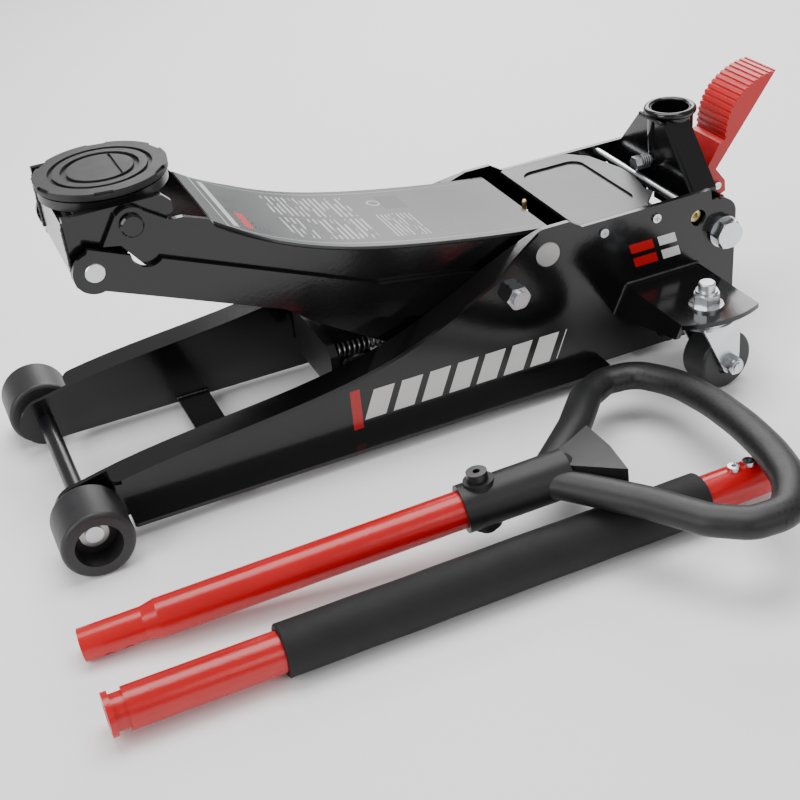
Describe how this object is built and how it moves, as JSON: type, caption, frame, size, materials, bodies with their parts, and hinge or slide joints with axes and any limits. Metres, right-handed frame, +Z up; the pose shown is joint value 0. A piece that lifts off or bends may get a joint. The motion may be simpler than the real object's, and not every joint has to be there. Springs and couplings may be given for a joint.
{
  "type": "hydraulic floor jack",
  "caption": "Low trolley jack, lift arm part-way up, with pedal, swivel casters and its two-piece D-grip handle lying beside it.",
  "frame": {"origin": "on the floor, under the middle of the whole set's bounding box", "axes": "+X from the saddle end to the handle socket end, -Y towards the side where the handle lies, +Z up"},
  "size_m": [0.811, 0.6352, 0.304],
  "materials": {
    "gloss_black": "gloss",
    "satin_black": "satin",
    "label_grey": "satin",
    "red_enamel": "gloss",
    "red_satin": "satin",
    "zinc": "satin",
    "bare_steel": "satin",
    "polished_rod": "polished",
    "yellow_zinc": "satin",
    "brass": "satin",
    "cast_black": "satin",
    "wheel_black": "matte",
    "grip_rubber": "matte",
    "pad_rubber": "matte",
    "foam": "matte",
    "spring_steel": "satin"
  },
  "bodies": {
    "chassis": {"side_plate_near": "gloss_black", "side_plate_far": "gloss_black", "front_axle": "zinc", "axle_circlips": "spring_steel", "cross_member": "gloss_black", "caster_bracket_near": "gloss_black", "caster_bracket_far": "gloss_black", "caster_kingpins": "zinc", "caster_king_nuts": "zinc", "cover_plate": "gloss_black", "cover_screws": "zinc", "cross_rod": "zinc", "arm_pivot_pin": "bare_steel", "link_pivot_bolts": "zinc", "hydraulic_base": "cast_black", "cylinder_housing": "cast_black", "base_bolts": "satin_black", "return_springs": "spring_steel", "pump_spring": "spring_steel", "socket_pivot_bolts": "zinc"},
    "front_wheel_near": {"front_wheel_near": "wheel_black"},
    "front_wheel_far": {"front_wheel_far": "wheel_black"},
    "caster_fork_near": {"caster_fork_near": "zinc", "caster_axle_near": "zinc"},
    "caster_fork_far": {"caster_fork_far": "zinc", "caster_axle_far": "zinc"},
    "caster_wheel_near": {"caster_wheel_near": "wheel_black"},
    "caster_wheel_far": {"caster_wheel_far": "wheel_black"},
    "lift_arm": {"arm_side_plates": "gloss_black", "arm_top_plate": "label_grey", "arm_pivot_tube": "gloss_black", "grease_fitting": "brass", "arm_pins": "gloss_black"},
    "links": {"link_plates": "gloss_black"},
    "yoke": {"saddle_carrier": "gloss_black", "yoke_lower_pin": "zinc"},
    "saddle": {"saddle_dish": "satin_black", "saddle_pad": "pad_rubber"},
    "crosshead": {"crosshead_block": "cast_black", "crosshead_pins": "zinc", "ram_rod": "polished_rod"},
    "pull_links": {"pull_links": "zinc"},
    "release_valve": {"release_valve": "zinc"},
    "pump_plunger": {"pump_plunger": "polished_rod"},
    "handle_socket": {"socket_tube": "gloss_black", "socket_fork": "gloss_black", "socket_roller": "bare_steel", "stop_screws": "yellow_zinc", "clamp_spring": "spring_steel", "pedal_bracket": "satin_black", "pedal_pin": "zinc"},
    "clamp_bolt": {"clamp_bolt": "zinc"},
    "pedal": {"pedal": "red_satin"},
    "lower_handle": {"lower_handle_tube": "red_enamel", "handle_spool_end": "red_enamel", "foam_sleeve": "foam", "joint_screws": "zinc"},
    "upper_handle": {"upper_handle_tube": "red_enamel", "grip_loop": "grip_rubber", "grip_screw": "zinc"}
  },
  "joints": [
    {"name": "front_wheel_near_spin", "type": "hinge", "parent": "chassis", "child": "front_wheel_near", "pos_m": [-0.36251, 0.00861, 0.0325], "axis": [0, 1, 0], "continuous": true},
    {"name": "front_wheel_far_spin", "type": "hinge", "parent": "chassis", "child": "front_wheel_far", "pos_m": [-0.36251, 0.24461, 0.0325], "axis": [0, 1, 0], "continuous": true},
    {"name": "caster_near_swivel", "type": "hinge", "parent": "chassis", "child": "caster_fork_near", "pos_m": [0.23549, -0.03239, 0.08], "axis": [0, 0, 1], "continuous": true},
    {"name": "caster_far_swivel", "type": "hinge", "parent": "chassis", "child": "caster_fork_far", "pos_m": [0.23549, 0.28561, 0.08], "axis": [0, 0, 1], "continuous": true},
    {"name": "caster_near_spin", "type": "hinge", "parent": "caster_fork_near", "child": "caster_wheel_near", "pos_m": [0.25042, -0.0309, 0.03], "axis": [-0.0993, 0.9951, 0], "continuous": true},
    {"name": "caster_far_spin", "type": "hinge", "parent": "caster_fork_far", "child": "caster_wheel_far", "pos_m": [0.25042, 0.28412, 0.03], "axis": [0.0993, 0.9951, 0], "continuous": true},
    {"name": "arm_lift", "type": "hinge", "parent": "chassis", "child": "lift_arm", "pos_m": [0.10949, 0.12661, 0.1475], "axis": [0, 1, 0], "range_deg": [-32, 36]},
    {"name": "link_swing", "type": "hinge", "parent": "chassis", "child": "links", "pos_m": [0.07149, 0.12661, 0.1165], "axis": [0, 1, 0], "range_deg": [-32, 36]},
    {"name": "yoke_level", "type": "hinge", "parent": "lift_arm", "child": "yoke", "pos_m": [-0.26651, 0.12661, 0.2775], "axis": [0, 1, 0], "range_deg": [-36, 32]},
    {"name": "saddle_turn", "type": "hinge", "parent": "yoke", "child": "saddle", "pos_m": [-0.27051, 0.12661, 0.29], "axis": [0, 0, 1], "continuous": true},
    {"name": "ram_travel", "type": "slide", "parent": "chassis", "child": "crosshead", "axis": [-1, 0, 0], "range_m": [-0.05, 0.0545], "deforming": ["return_springs"]},
    {"name": "pull_link_level", "type": "hinge", "parent": "lift_arm", "child": "pull_links", "pos_m": [0.10949, 0.12661, 0.0575], "axis": [0, 1, 0], "range_deg": [-36, 32]},
    {"name": "release_turn", "type": "hinge", "parent": "chassis", "child": "release_valve", "pos_m": [0.23749, 0.16061, 0.11], "axis": [0, 0, 1], "range_deg": [0, 270]},
    {"name": "socket_pump", "type": "hinge", "parent": "chassis", "child": "handle_socket", "pos_m": [0.30649, 0.12661, 0.118], "axis": [0, 1, 0], "range_deg": [0, 50]},
    {"name": "pump_stroke", "type": "slide", "parent": "chassis", "child": "pump_plunger", "axis": [-1, 0, 0], "range_m": [0, 0.0235], "deforming": ["pump_spring"]},
    {"name": "clamp_screw", "type": "slide", "parent": "handle_socket", "child": "clamp_bolt", "axis": [1, 0, 0], "range_m": [0, 0.006], "deforming": ["clamp_spring"]},
    {"name": "pedal_fold", "type": "hinge", "parent": "handle_socket", "child": "pedal", "pos_m": [0.33949, 0.12661, 0.137], "axis": [0, 1, 0], "range_deg": [-10, 0]},
    {"name": "lower_handle_lift", "type": "slide", "parent": "chassis", "child": "lower_handle", "axis": [0, 0, 1], "range_m": [0, 0.3]},
    {"name": "upper_handle_lift", "type": "slide", "parent": "lower_handle", "child": "upper_handle", "axis": [0, 0, 1], "range_m": [0, 0.3]}
  ],
  "couplings": [
    {"joint": "link_swing", "follows": "arm_lift", "ratio": 1},
    {"joint": "yoke_level", "follows": "arm_lift", "ratio": -1},
    {"joint": "pull_link_level", "follows": "arm_lift", "ratio": -1},
    {"joint": "ram_travel", "follows": "arm_lift", "m_per_rad": 0.086},
    {"joint": "pump_stroke", "follows": "socket_pump", "m_per_rad": 0.0262}
  ]
}
